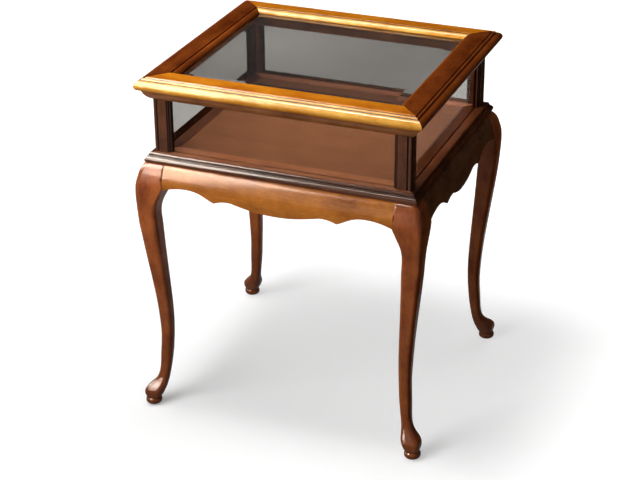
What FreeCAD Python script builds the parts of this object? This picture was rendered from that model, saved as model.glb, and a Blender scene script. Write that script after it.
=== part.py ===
import FreeCAD, Part

# Collectors display table: a glazed display case with a hinged, glass-topped lid,
# standing on four cabriole legs joined by scalloped aprons.
# Millimetres, +Z up, origin on the floor under the middle of the table, front towards -Y.
# Plan sizes are insets, measured inwards from the nose of the lid.

import math
import os

from FreeCAD import Vector

# Driving sizes of the whole table
LID_LENGTH = 508.0                 # left nose to right nose
LID_DEPTH = 457.0                  # front nose to back nose
TABLE_HEIGHT = 635.0               # floor to the highest line of the lid

# Heights of the layers, from the top down
LID_THICKNESS = 22.0
LID_GAP = 0.6                      # felt dots hold the lid off the case by this much
TOP_RAIL_HEIGHT = 19.2
WINDOW_HEIGHT = 96.0               # clear height of the side glass
BASE_RAIL_HEIGHT = 18.5

LID_BOTTOM = TABLE_HEIGHT - LID_THICKNESS
CASE_TOP = LID_BOTTOM - LID_GAP
WINDOW_TOP = CASE_TOP - TOP_RAIL_HEIGHT
BASE_TOP = WINDOW_TOP - WINDOW_HEIGHT
STAND_TOP = BASE_TOP - BASE_RAIL_HEIGHT

# Insets of the main faces
TOP_RAIL_INSET = 9.2
BASE_RAIL_INSET = 9.0
POST_INSET = 23.4
POST_SIZE = 30.6
POST_INNER = POST_INSET + POST_SIZE
PANE_INSET = 33.0                  # middle of the side glass

# Clearances
GLUE_LINE = 0.05                   # round a glued or driven pin, all round
JOINT_CLEARANCE = 0.2              # tenons, keys and loose fits, all round
SEAM_CLEARANCE = 0.35              # between a leg and the end of an apron
PANEL_CLEARANCE = 0.4              # round glass and panels

SIDES = ("front", "back", "left", "right")
CORNERS = {"front_left": (-1, -1), "front_right": (1, -1), "back_left": (-1, 1), "back_right": (1, 1)}

nodes = {}


# ---------------------------------------------------------------- plain helpers

def on_side(side, along, inset, z):
    """A point beside one side: along it from the middle, inwards from the nose, and up."""
    if side == "front":
        return Vector(along, -LID_DEPTH / 2 + inset, z)
    if side == "back":
        return Vector(along, LID_DEPTH / 2 - inset, z)
    if side == "left":
        return Vector(-LID_LENGTH / 2 + inset, along, z)
    return Vector(LID_LENGTH / 2 - inset, along, z)


def half_length(side):
    return LID_LENGTH / 2 if side in ("front", "back") else LID_DEPTH / 2


def at_corner(corner, inset_x, inset_y, z):
    """A point by its insets from the two noses that meet at a corner."""
    sign_x, sign_y = CORNERS[corner]
    return Vector(sign_x * (LID_LENGTH / 2 - inset_x), sign_y * (LID_DEPTH / 2 - inset_y), z)


def path(steps, place):
    """A closed wire: pairs are straight steps, a pair of pairs is an arc through the first to the second."""
    here = place(*steps[0])
    first = here
    edges = []
    for step in steps[1:]:
        if isinstance(step[0], tuple):
            there = place(*step[1])
            edges.append(Part.Arc(here, place(*step[0]), there).toShape())
        else:
            there = place(*step)
            edges.append(Part.LineSegment(here, there).toShape())
        here = there
    if (here - first).Length > 1e-6:
        edges.append(Part.LineSegment(here, first).toShape())
    return Part.Wire(edges)


def prism(points, z_low, z_high):
    """An upright solid on a plan of (x, y) points."""
    wire = Part.makePolygon([Vector(x, y, z_low) for x, y in points] + [Vector(*points[0], z_low)])
    return Part.Face(wire).extrude(Vector(0, 0, z_high - z_low))


def block(side, along_low, along_high, inset_low, inset_high, z_low, z_high):
    """A square-edged solid beside one side."""
    a = on_side(side, along_low, inset_low, z_low)
    b = on_side(side, along_high, inset_high, z_high)
    low = Vector(min(a.x, b.x), min(a.y, b.y), z_low)
    return Part.makeBox(abs(b.x - a.x), abs(b.y - a.y), z_high - z_low, low)


def mitred(side, steps, bottom, top, inner, outer=-20.0):
    """A moulding of the given section along one side, mitred at both ends."""
    length = half_length(side)
    face = Part.Face(path(steps, lambda inset, z: on_side(side, -length, inset, z)))
    bar = face.extrude(on_side(side, length, 0, 0) - on_side(side, -length, 0, 0))
    plan = [(-length + outer, outer), (length - outer, outer),
            (length - inner, inner), (-length + inner, inner)]
    wedge = prism([tuple(on_side(side, along, inset, 0))[:2] for along, inset in plan], bottom, top)
    return bar.common(wedge)


def rod(start, direction, length, radius):
    return Part.makeCylinder(radius, length, start, direction)


def write(name, *solids):
    nodes[name] = solids[0] if len(solids) == 1 else Part.makeCompound(list(solids))


# ---------------------------------------------------------------- screws, shared by several joints

SCREW_SLOT_WIDTH = 0.8
SCREW_SLOT_DEPTH = 0.7


def screw(start, direction, length, radius, head_radius, head_height, countersunk):
    """A slotted wood screw: start is the top of its head, direction the way that it is driven."""
    if countersunk:
        head = Part.makeCone(head_radius, radius, head_height, start, direction)
    else:
        head = rod(start, direction, head_height, head_radius)
    solid = head.fuse(rod(start, direction, length, radius))
    across = direction.cross(Vector(0, 0, 1))
    if across.Length < 0.5:
        across = Vector(1, 0, 0)
    across.normalize()
    sideways = direction.cross(across)
    corner = (start - across * (head_radius + 1) - sideways * (SCREW_SLOT_WIDTH / 2)
              - direction * SCREW_SLOT_DEPTH)
    slot = Part.makeBox(2 * head_radius + 2, SCREW_SLOT_WIDTH, 2 * SCREW_SLOT_DEPTH)
    turn = FreeCAD.Matrix(across.x, sideways.x, direction.x, corner.x,
                          across.y, sideways.y, direction.y, corner.y,
                          across.z, sideways.z, direction.z, corner.z,
                          0, 0, 0, 1)
    return solid.cut(slot.transformGeometry(turn)).removeSplitter()


# ---------------------------------------------------------------- cabriole legs

KNEE_TOP_INSET = 9.6               # face of the knee where it meets the moulding above
KNEE_INSET = -6.8                  # proudest line of the knee
ANKLE_INSET = 16.9                 # deepest line of the back of the leg
SEAM_INSET = 45.4                  # inner face of the knee block, where the apron meets it
KNEE_BLOCK_DROP = 41.0             # height of the knee block, down from its top

# Knee: drop below the top of the leg, and share of the way from the top inset to the proudest one
KNEE_CURVE = ((0.0, 0.0), (3.5, 0.25), (9.0, 0.47), (17.0, 0.66), (29.0, 0.85), (KNEE_BLOCK_DROP, 0.975))
# Below the block: the same, the leg's width and the radius of its side corners
KNEE_THROAT = ((50.0, 1.0, 48.6, 3.6), (60.0, 1.0, 44.6, 5.4), (74.0, 0.965, 38.6, 6.8))
THROAT_DROP = 91.0

# Shaft: share of the way down, share of the way from the knee's inset to the ankle's, width
SHAFT_CURVE = ((0.0, 0.08, 34.6), (0.13, 0.23, 32.9), (0.30, 0.49, 29.3), (0.50, 0.80, 25.3),
               (0.68, 0.985, 22.6), (0.82, 0.985, 21.0), (0.94, 0.895, 19.4))

# Pad foot: height, inset and width, with a toe that points outwards at the corner
FOOT_CURVE = ((60.0, 12.0, 19.0), (50.0, 8.2, 21.3), (43.0, 2.6, 25.7), (36.0, -4.8, 31.8),
              (28.0, -8.8, 33.2), (21.0, -8.6, 30.2), (15.5, -6.8, 25.0), (12.0, -6.2, 22.8))
KNEE_CORNER_RADIUS = 9.0
SEAM_CORNER_RADIUS = 2.0           # eased edge beside the apron
ROUNDING_AT_KNEE = 0.20            # share of the width taken by each rounded corner
ROUNDING_AT_ANKLE = 0.36
TOE_RADIUS = 6.5

DISC_INSET = 4.6                   # middle of the turned disc under the pad
DISC_RADIUS = 14.6
DISC_FOOT_RADIUS = 9.2
DISC_NECK_RADIUS = 11.6
DISC_BOTTOM = 2.0
DISC_WIDEST = 8.0
DISC_TOP = 14.0

APRON_THICKNESS = 22.0             # the inner face of the apron is at this inset
TENON_LENGTH = 12.0
TENON_INSET = 8.0
TENON_THICKNESS = 9.0
TENON_DROP = 8.0
TENON_HEIGHT = 26.0

BOLT_DROP = 21.0                   # hanger bolt through the corner block into the leg
BOLT_RADIUS = 4.0
BOLT_START_INSET = 28.0


def leg_section(corner, z, inset, width, outer_radius, side_radius, inner_radius):
    """A square section with rounded corners; the first is the outer corner of the table."""
    far = inset + width
    half = math.sqrt(0.5)
    turns = ((inset, inset, 1, 1, outer_radius), (far, inset, -1, 1, side_radius),
             (far, far, -1, -1, inner_radius), (inset, far, 1, -1, side_radius))
    edges = []
    last = None
    first = None
    for index, (x, y, to_x, to_y, radius) in enumerate(turns):
        middle_x = x + to_x * radius
        middle_y = y + to_y * radius
        beside = at_corner(corner, x, middle_y, z)
        below = at_corner(corner, middle_x, y, z)
        start, end = (beside, below) if index % 2 == 0 else (below, beside)
        bend = at_corner(corner, middle_x - to_x * radius * half, middle_y - to_y * radius * half, z)
        if last is not None:
            edges.append(Part.LineSegment(last, start).toShape())
        else:
            first = start
        edges.append(Part.Arc(start, bend, end).toShape())
        last = end
    edges.append(Part.LineSegment(last, first).toShape())
    return Part.Wire(edges)


def leg_stations():
    """Height, inset, width and the three corner radii of each section, from the top down."""
    rows = []
    reach = KNEE_INSET - KNEE_TOP_INSET
    for drop, share in KNEE_CURVE:
        inset = KNEE_TOP_INSET + reach * share
        rows.append((STAND_TOP - drop, inset, SEAM_INSET - inset,
                     KNEE_CORNER_RADIUS, SEAM_CORNER_RADIUS, SEAM_CORNER_RADIUS))
    for drop, share, width, side_radius in KNEE_THROAT:
        rows.append((STAND_TOP - drop, KNEE_TOP_INSET + reach * share, width,
                     KNEE_CORNER_RADIUS, side_radius, side_radius))
    shaft_top = STAND_TOP - THROAT_DROP
    shaft_length = shaft_top - FOOT_CURVE[0][0]
    for down, share, width in SHAFT_CURVE:
        inset = KNEE_INSET + (ANKLE_INSET - KNEE_INSET) * share
        radius = width * (ROUNDING_AT_KNEE + (ROUNDING_AT_ANKLE - ROUNDING_AT_KNEE) * down)
        rows.append((shaft_top - shaft_length * down, inset, width, radius, radius, radius))
    for height, inset, width in FOOT_CURVE:
        heel = ROUNDING_AT_ANKLE * width
        rows.append((height, inset, width, TOE_RADIUS, heel, heel))
    return rows


def diagonal(corner):
    """Level direction from the corner of the table towards its middle."""
    return (at_corner(corner, 1, 1, 0) - at_corner(corner, 0, 0, 0)).normalize()


def tenon_block(side, end, clearance):
    """The tenon at one end of an apron, or the mortise for it with a clearance."""
    seam = half_length(side) - SEAM_INSET
    low = seam - TENON_LENGTH / 2 - JOINT_CLEARANCE
    high = seam + TENON_LENGTH + clearance
    top = STAND_TOP - TENON_DROP
    return block(side, end * low, end * high, TENON_INSET - clearance,
                 TENON_INSET + TENON_THICKNESS + clearance, top - TENON_HEIGHT - clearance, top + clearance)


GLIDE_RADIUS = 7.0
GLIDE_STEM_RADIUS = 1.3
GLIDE_STEM_LENGTH = 14.0


def leg(corner):
    """Knee, shaft and pad foot carved from one piece, with the disc turned under the foot."""
    wires = [leg_section(corner, *row) for row in leg_stations()]
    shape = Part.makeLoft(wires, True, False)
    plan = ((-SEAM_INSET, -SEAM_INSET), (SEAM_INSET, -SEAM_INSET),
            (SEAM_INSET, SEAM_INSET), (-SEAM_INSET, SEAM_INSET))
    shape = shape.common(prism([tuple(at_corner(corner, x, y, 0))[:2] for x, y in plan], 0, STAND_TOP))
    disc_steps = [(0, DISC_BOTTOM), (DISC_FOOT_RADIUS, DISC_BOTTOM),
                  ((DISC_RADIUS * 0.93, DISC_WIDEST * 0.52), (DISC_RADIUS, DISC_WIDEST)),
                  ((DISC_RADIUS * 0.955, DISC_TOP * 0.84), (DISC_NECK_RADIUS, DISC_TOP)), (0, DISC_TOP)]
    centre = at_corner(corner, DISC_INSET, DISC_INSET, 0)
    face = Part.Face(path(disc_steps, lambda radius, z: centre + Vector(radius, 0, z)))
    shape = shape.fuse(face.revolve(centre, Vector(0, 0, 1), 360))
    sign_x, sign_y = CORNERS[corner]
    long_side = "front" if sign_y < 0 else "back"
    short_side = "left" if sign_x < 0 else "right"
    shape = shape.cut(tenon_block(long_side, sign_x, JOINT_CLEARANCE))
    shape = shape.cut(tenon_block(short_side, sign_y, JOINT_CLEARANCE))
    start = at_corner(corner, BOLT_START_INSET, BOLT_START_INSET, STAND_TOP - BOLT_DROP)
    shape = shape.cut(rod(start, diagonal(corner), SEAM_INSET, BOLT_RADIUS + GLUE_LINE))
    stem = at_corner(corner, DISC_INSET, DISC_INSET, 0)
    return shape.cut(rod(stem, Vector(0, 0, 1), GLIDE_STEM_LENGTH + GLUE_LINE, GLIDE_STEM_RADIUS + GLUE_LINE))


def foot_glide(corner):
    """Nylon disc with a nail, driven in under the foot."""
    centre = at_corner(corner, DISC_INSET, DISC_INSET, 0)
    disc = rod(centre, Vector(0, 0, 1), DISC_BOTTOM, GLIDE_RADIUS)
    return disc.fuse(rod(centre, Vector(0, 0, 1), GLIDE_STEM_LENGTH, GLIDE_STEM_RADIUS)).removeSplitter()


for corner_name in CORNERS:
    write("leg_" + corner_name, leg(corner_name))
write("foot_glides", *[foot_glide(name) for name in CORNERS])


# ---------------------------------------------------------------- scalloped aprons

APRON_TOP_INSET = 11.2
APRON_BELLY_INSET = -3.6
APRON_LOW_INSET = -2.6
APRON_BELLY_DROP = 40.0

# Scalloped edge: drops below the top of the stand, and distances from the middle or from the seam
APRON_END_DROP = 41.0
ARCH_DROP = 32.6
CUSP_DROP = 49.0
DIP_DROP = 43.8
FRONT_LOBE_DROP = 55.0
SIDE_LOBE_DROP = 56.5
FRONT_CUSP = 111.0                 # cusp from the middle of the front and back aprons
SIDE_CUSP = 88.0
ARCH_FROM_END = 43.0
CUSP_NOTCH = 13.0                  # from the cusp to where the lobe's curve begins
DIP_FROM_CUSP = 31.0


def spline(points, start_slope=None, end_slope=None):
    curve = Part.BSplineCurve()
    if start_slope is None:
        curve.interpolate(points)
    else:
        curve.interpolate(Points=points, InitialTangent=start_slope, FinalTangent=end_slope)
    return curve.toShape()


def apron_section(side):
    """Bowed face of an apron: a quick shoulder, then a slow belly."""
    low = max(FRONT_LOBE_DROP, SIDE_LOBE_DROP) + 4
    span = APRON_BELLY_INSET - APRON_TOP_INSET
    rows = ((APRON_TOP_INSET, 0.0), (APRON_TOP_INSET + span * 0.28, APRON_BELLY_DROP * 0.10),
            (APRON_TOP_INSET + span * 0.56, APRON_BELLY_DROP * 0.27),
            (APRON_TOP_INSET + span * 0.80, APRON_BELLY_DROP * 0.52),
            (APRON_BELLY_INSET, APRON_BELLY_DROP), (APRON_LOW_INSET, low))
    start = -half_length(side)
    face_points = [on_side(side, start, inset, STAND_TOP - drop) for inset, drop in rows]
    back_low = on_side(side, start, APRON_THICKNESS, STAND_TOP - low)
    back_high = on_side(side, start, APRON_THICKNESS, STAND_TOP)
    edges = [spline(face_points),
             Part.LineSegment(face_points[-1], back_low).toShape(),
             Part.LineSegment(back_low, back_high).toShape(),
             Part.LineSegment(back_high, face_points[0]).toShape()]
    return Part.Face(Part.Wire(edges))


def scallop_plan(side):
    """Front view of an apron as a face: arches at the ends, cusps and a middle lobe."""
    front = side in ("front", "back")
    lobe = FRONT_LOBE_DROP if front else SIDE_LOBE_DROP
    cusp = FRONT_CUSP if front else SIDE_CUSP
    length = half_length(side)
    seam = length - SEAM_INSET - SEAM_CLEARANCE
    arch = seam - ARCH_FROM_END
    notch = cusp - CUSP_NOTCH
    dip = cusp - DIP_FROM_CUSP
    outside = on_side(side, 0, 2 * KNEE_INSET, 0)

    def point(along, drop):
        spot = on_side(side, along, 0, STAND_TOP - drop)
        return Vector(spot.x if front else outside.x, spot.y if not front else outside.y, spot.z)

    edges = [Part.LineSegment(point(-seam, APRON_END_DROP), point(-seam, 0)).toShape(),
             Part.LineSegment(point(-seam, 0), point(seam, 0)).toShape(),
             Part.LineSegment(point(seam, 0), point(seam, APRON_END_DROP)).toShape()]
    cusp_height = CUSP_DROP - ARCH_DROP
    for end in (1, -1):
        arch_points = [point(end * seam, APRON_END_DROP), point(end * arch, ARCH_DROP),
                       point(end * (cusp + (arch - cusp) * 0.48), ARCH_DROP + cusp_height * 0.26),
                       point(end * (cusp + (arch - cusp) * 0.20), ARCH_DROP + cusp_height * 0.71),
                       point(end * cusp, CUSP_DROP)]
        notch_points = [point(end * cusp, CUSP_DROP), point(end * notch, DIP_DROP + 1.0),
                        point(end * dip, DIP_DROP)]
        edges.append(spline(arch_points))
        edges.append(spline(notch_points))
    lobe_points = [point(dip, DIP_DROP), point(dip * 0.60, DIP_DROP + (lobe - DIP_DROP) * 0.62),
                   point(dip * 0.28, DIP_DROP + (lobe - DIP_DROP) * 0.93), point(0, lobe),
                   point(-dip * 0.28, DIP_DROP + (lobe - DIP_DROP) * 0.93),
                   point(-dip * 0.60, DIP_DROP + (lobe - DIP_DROP) * 0.62), point(-dip, DIP_DROP)]
    edges.append(spline(lobe_points))
    return Part.Face(Part.Wire(Part.__sortEdges__(edges)))


def apron(side):
    length = half_length(side)
    bar = apron_section(side).extrude(on_side(side, length, 0, 0) - on_side(side, -length, 0, 0))
    inwards = on_side(side, 0, APRON_THICKNESS - 4 * KNEE_INSET, 0) - on_side(side, 0, 0, 0)
    board = bar.common(scallop_plan(side).extrude(inwards))
    for end in (-1, 1):
        board = board.fuse(tenon_block(side, end, 0))
    for along in screw_places(side):
        start = on_side(side, along, APRON_THICKNESS, STAND_TOP - BLOCK_SCREW_DROP)
        outwards = on_side(side, 0, 0, 0) - on_side(side, 0, 1, 0)
        board = board.cut(rod(start, outwards, BLOCK_SCREW_GRIP + GLUE_LINE, BLOCK_SCREW_RADIUS + GLUE_LINE))
    return board


# ---------------------------------------------------------------- corner blocks and their bolts and screws

BLOCK_HEIGHT = 35.0
BLOCK_REACH = 108.0                # inset of the block's tip along each apron
BLOCK_LEG_GAP = 1.0                # the block stands off the leg, so that the bolt draws it tight
BLOCK_SCREW_DROP = 12.0
BLOCK_SCREW_RADIUS = 1.8
BLOCK_SCREW_HEAD = 3.6
BLOCK_SCREW_HEAD_HEIGHT = 2.0
BLOCK_SCREW_GRIP = 11.0            # how deep it bites into the apron
BLOCK_SCREW_INSET = 90.0
BLOCK_SCREW_SEAT = 8.0             # wood under the head
STAND_SCREW_INSET = 74.0
STAND_SCREW_APRON_INSET = 33.0
STAND_SCREW_GRIP = 10.0
STAND_SCREW_POCKET = 12.0

WASHER_RADIUS = 9.0
WASHER_THICKNESS = 1.6
NUT_ACROSS_FLATS = 13.0
NUT_THICKNESS = 6.5
BOLT_TAIL = 3.0                    # thread that shows past the nut


def screw_places(side):
    """Where the corner blocks' screws enter one apron, from its middle."""
    place = half_length(side) - BLOCK_SCREW_INSET
    return (-place, place)


def block_face_inset():
    """Inset, the same both ways, of the middle of the block's long face."""
    return (BLOCK_REACH + APRON_THICKNESS) / 2


def corner_block(corner):
    """Hardwood brace glued and screwed across the corner behind the leg."""
    notch = SEAM_INSET + BLOCK_LEG_GAP
    plan = ((notch, APRON_THICKNESS), (BLOCK_REACH, APRON_THICKNESS), (APRON_THICKNESS, BLOCK_REACH),
            (APRON_THICKNESS, notch), (notch, notch))
    low = STAND_TOP - BLOCK_HEIGHT
    solid = prism([tuple(at_corner(corner, x, y, 0))[:2] for x, y in plan], low, STAND_TOP)
    start = at_corner(corner, BOLT_START_INSET, BOLT_START_INSET, STAND_TOP - BOLT_DROP)
    solid = solid.cut(rod(start, diagonal(corner), BLOCK_REACH, BOLT_RADIUS + JOINT_CLEARANCE))
    for start, direction in block_screws(corner):
        pocket = start - direction * BLOCK_REACH
        solid = solid.cut(rod(pocket, direction, BLOCK_REACH + BLOCK_SCREW_HEAD_HEIGHT,
                              BLOCK_SCREW_HEAD + JOINT_CLEARANCE))
        solid = solid.cut(rod(start, direction, BLOCK_REACH, BLOCK_SCREW_RADIUS + JOINT_CLEARANCE))
    for start in stand_screws(corner):
        pocket = start - Vector(0, 0, BLOCK_HEIGHT)
        solid = solid.cut(rod(pocket, Vector(0, 0, 1), BLOCK_HEIGHT + BLOCK_SCREW_HEAD_HEIGHT,
                              BLOCK_SCREW_HEAD + JOINT_CLEARANCE))
        solid = solid.cut(rod(start, Vector(0, 0, 1), BLOCK_HEIGHT, BLOCK_SCREW_RADIUS + JOINT_CLEARANCE))
    return solid


def block_screws(corner):
    """Head and direction of the two screws that fix a block to its aprons."""
    z = STAND_TOP - BLOCK_SCREW_DROP
    head = APRON_THICKNESS + BLOCK_SCREW_SEAT + BLOCK_SCREW_HEAD_HEIGHT
    places = ((BLOCK_SCREW_INSET, head, 0, 1), (head, BLOCK_SCREW_INSET, 1, 0))
    result = []
    for inset_x, inset_y, step_x, step_y in places:
        start = at_corner(corner, inset_x, inset_y, z)
        direction = at_corner(corner, inset_x - step_x, inset_y - step_y, z) - start
        result.append((start, direction))
    return result


def stand_screws(corner):
    """Heads of the two upright screws that hold the case down on the stand."""
    z = BASE_BOTTOM_SEAT
    return [at_corner(corner, STAND_SCREW_INSET, STAND_SCREW_APRON_INSET, z),
            at_corner(corner, STAND_SCREW_APRON_INSET, STAND_SCREW_INSET, z)]


BASE_BOTTOM_SEAT = STAND_TOP - BLOCK_HEIGHT + STAND_SCREW_POCKET


def hanger_bolt(corner):
    start = at_corner(corner, BOLT_START_INSET, BOLT_START_INSET, STAND_TOP - BOLT_DROP)
    reach = (block_face_inset() - BOLT_START_INSET) * math.sqrt(2)
    return rod(start, diagonal(corner), reach + WASHER_THICKNESS + NUT_THICKNESS + BOLT_TAIL, BOLT_RADIUS)


def bolt_washer(corner):
    seat = at_corner(corner, block_face_inset(), block_face_inset(), STAND_TOP - BOLT_DROP)
    ring = rod(seat, diagonal(corner), WASHER_THICKNESS, WASHER_RADIUS)
    return ring.cut(rod(seat, diagonal(corner), WASHER_THICKNESS, BOLT_RADIUS + JOINT_CLEARANCE))


def bolt_nut(corner):
    along = diagonal(corner)
    seat = at_corner(corner, block_face_inset(), block_face_inset(), STAND_TOP - BOLT_DROP)
    seat = seat + along * WASHER_THICKNESS
    across = along.cross(Vector(0, 0, 1))
    radius = NUT_ACROSS_FLATS / math.sqrt(3)
    points = []
    for index in range(7):
        angle = math.radians(60 * index)
        points.append(seat + across * (radius * math.cos(angle)) + Vector(0, 0, radius * math.sin(angle)))
    solid = Part.Face(Part.makePolygon(points)).extrude(along * NUT_THICKNESS)
    return solid.cut(rod(seat, along, NUT_THICKNESS, BOLT_RADIUS + GLUE_LINE))


def block_screw_group(corner):
    length = BLOCK_SCREW_HEAD_HEIGHT + BLOCK_SCREW_SEAT + BLOCK_SCREW_GRIP
    return [screw(start, direction, length, BLOCK_SCREW_RADIUS, BLOCK_SCREW_HEAD,
                  BLOCK_SCREW_HEAD_HEIGHT, False)
            for start, direction in block_screws(corner)]


def stand_screw_group(corner):
    length = STAND_TOP - BASE_BOTTOM_SEAT + STAND_SCREW_GRIP
    return [screw(start, Vector(0, 0, 1), length, BLOCK_SCREW_RADIUS, BLOCK_SCREW_HEAD,
                  BLOCK_SCREW_HEAD_HEIGHT, False) for start in stand_screws(corner)]


for side_name in SIDES:
    write("apron_" + side_name, apron(side_name))
write("corner_blocks", *[corner_block(name) for name in CORNERS])
write("leg_hanger_bolts", *[hanger_bolt(name) for name in CORNERS])
write("leg_bolt_washers", *[bolt_washer(name) for name in CORNERS])
write("leg_bolt_nuts", *[bolt_nut(name) for name in CORNERS])
write("corner_block_screws", *[solid for name in CORNERS for solid in block_screw_group(name)])
write("stand_to_case_screws", *[solid for name in CORNERS for solid in stand_screw_group(name)])


# ---------------------------------------------------------------- base rails and display floor

BEAD_EDGE_INSET = 18.6             # where the flat top of the rail starts to round over
BEAD_STEP_INSET = 15.4
BEAD_DROP = 3.4
FILLET_DROP = 5.2
TORUS_TOP_INSET = 13.0
TORUS_TOP_DROP = 7.2
TORUS_WIDEST_DROP = 13.0
TORUS_FOOT_INSET = 12.3

LEDGE_WIDTH = 1.4                  # flat that shows inside the posts, beside the floor
DECK_SHELF = 9.5                   # rebate that the floor rests on
DECK_THICKNESS = 9.0
DECK_RECESS = 0.8                  # the floor lies this far below the rails

PANE_THICKNESS = 4.0
PANE_GROOVE_DEPTH = 5.0
PANE_GROOVE_WIDTH = PANE_THICKNESS + PANEL_CLEARANCE

KEY_LENGTH = 24.0                  # loose keys glued across the mitres
KEY_WIDTH = 11.0
KEY_THICKNESS = 3.0

DOWEL_RADIUS = 4.0
DOWEL_INSET = 31.0
DOWEL_IN_POST = 20.0
DOWEL_IN_RAIL = 11.0

LEDGE_INNER = POST_INNER + LEDGE_WIDTH
BASE_RAIL_INNER = LEDGE_INNER + DECK_SHELF
PANE_END_INSET = POST_INNER - PANE_GROOVE_DEPTH


def pane_groove(side, z_low, z_high):
    """Groove along a rail for the edge of a pane, stopped inside the posts."""
    reach = half_length(side) - PANE_END_INSET
    return block(side, -reach, reach, PANE_INSET - PANE_GROOVE_WIDTH / 2, PANE_INSET + PANE_GROOVE_WIDTH / 2,
                 z_low, z_high)


def mitre_key(corner, inset, z, clearance):
    """Loose key lying flat across a mitre, or its slot with a clearance."""
    length = KEY_LENGTH / 2 + clearance
    width = KEY_WIDTH / 2 + clearance
    along = diagonal(corner)
    across = along.cross(Vector(0, 0, 1))
    middle = at_corner(corner, inset, inset, z)
    corners = [middle + across * length + along * width, middle - across * length + along * width,
               middle - across * length - along * width, middle + across * length - along * width]
    low = z - KEY_THICKNESS / 2 - clearance
    return prism([(spot.x, spot.y) for spot in corners], low, low + KEY_THICKNESS + 2 * clearance)


def corners_of(side):
    return [name for name in CORNERS if side in name.split("_")]


def post_dowel(corner, z_middle, radius):
    """Dowel that stands half in a post and half in the rail above or below it."""
    grow = DOWEL_IN_POST if z_middle == BASE_TOP else DOWEL_IN_RAIL
    shrink = DOWEL_IN_RAIL if z_middle == BASE_TOP else DOWEL_IN_POST
    start = at_corner(corner, DOWEL_INSET, DOWEL_INSET, z_middle - shrink)
    return rod(start, Vector(0, 0, 1), grow + shrink, radius)


BASE_KEY_INSET = 28.0
BASE_KEY_DROP = 14.5


def base_rail(side):
    """Waist moulding: a bead over a torus outside, a glass groove on top, a rebate for the floor inside."""
    shelf = DECK_RECESS + DECK_THICKNESS
    rows = [(BASE_RAIL_INNER, -BASE_RAIL_HEIGHT), (BASE_RAIL_INNER, -shelf), (LEDGE_INNER, -shelf),
            (LEDGE_INNER, 0), (BEAD_EDGE_INSET, 0),
            ((BEAD_STEP_INSET + 1.1, -BEAD_DROP * 0.27), (BEAD_STEP_INSET, -BEAD_DROP)),
            (BEAD_STEP_INSET, -FILLET_DROP), (TORUS_TOP_INSET, -FILLET_DROP - 0.6),
            (TORUS_TOP_INSET, -TORUS_TOP_DROP),
            ((BASE_RAIL_INSET, -TORUS_WIDEST_DROP), (TORUS_FOOT_INSET, -BASE_RAIL_HEIGHT))]
    steps = [rows[0]]
    for row in rows[1:]:
        if isinstance(row[0], tuple):
            steps.append(((row[0][0], BASE_TOP + row[0][1]), (row[1][0], BASE_TOP + row[1][1])))
        else:
            steps.append((row[0], BASE_TOP + row[1]))
    steps[0] = (rows[0][0], BASE_TOP + rows[0][1])
    rail = mitred(side, steps, STAND_TOP, BASE_TOP, BASE_RAIL_INNER)
    rail = rail.cut(pane_groove(side, BASE_TOP - PANE_GROOVE_DEPTH, BASE_TOP))
    for corner in corners_of(side):
        rail = rail.cut(mitre_key(corner, BASE_KEY_INSET, BASE_TOP - BASE_KEY_DROP, GLUE_LINE))
        rail = rail.cut(post_dowel(corner, BASE_TOP, DOWEL_RADIUS + GLUE_LINE))
        for start in stand_screws(corner):
            rail = rail.cut(rod(start, Vector(0, 0, 1), STAND_TOP - start.z + STAND_SCREW_GRIP + GLUE_LINE,
                                BLOCK_SCREW_RADIUS + GLUE_LINE))
    return rail


def display_floor():
    """Veneered panel that lies in the rebate of the base rails."""
    edge = LEDGE_INNER + PANEL_CLEARANCE
    half_x = LID_LENGTH / 2 - edge
    half_y = LID_DEPTH / 2 - edge
    top = BASE_TOP - DECK_RECESS
    return Part.makeBox(2 * half_x, 2 * half_y, DECK_THICKNESS,
                        Vector(-half_x, -half_y, top - DECK_THICKNESS))


for side_name in SIDES:
    write("base_rail_" + side_name, base_rail(side_name))
write("base_mitre_keys", *[mitre_key(name, BASE_KEY_INSET, BASE_TOP - BASE_KEY_DROP, 0) for name in CORNERS])
write("display_floor", display_floor())


# ---------------------------------------------------------------- corner posts and side glass

POST_BEAD_RADIUS = 3.0             # bead down the outer corner
POST_QUIRK_WIDTH = 2.4             # groove beside that bead
POST_QUIRK_DEPTH = 2.0
POST_STEP_WIDTH = 3.4              # two steps down towards the glass
POST_STEP_DEPTH = 2.0
POST_THICKNESS = 14.0              # of each leg of the angle


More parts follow.
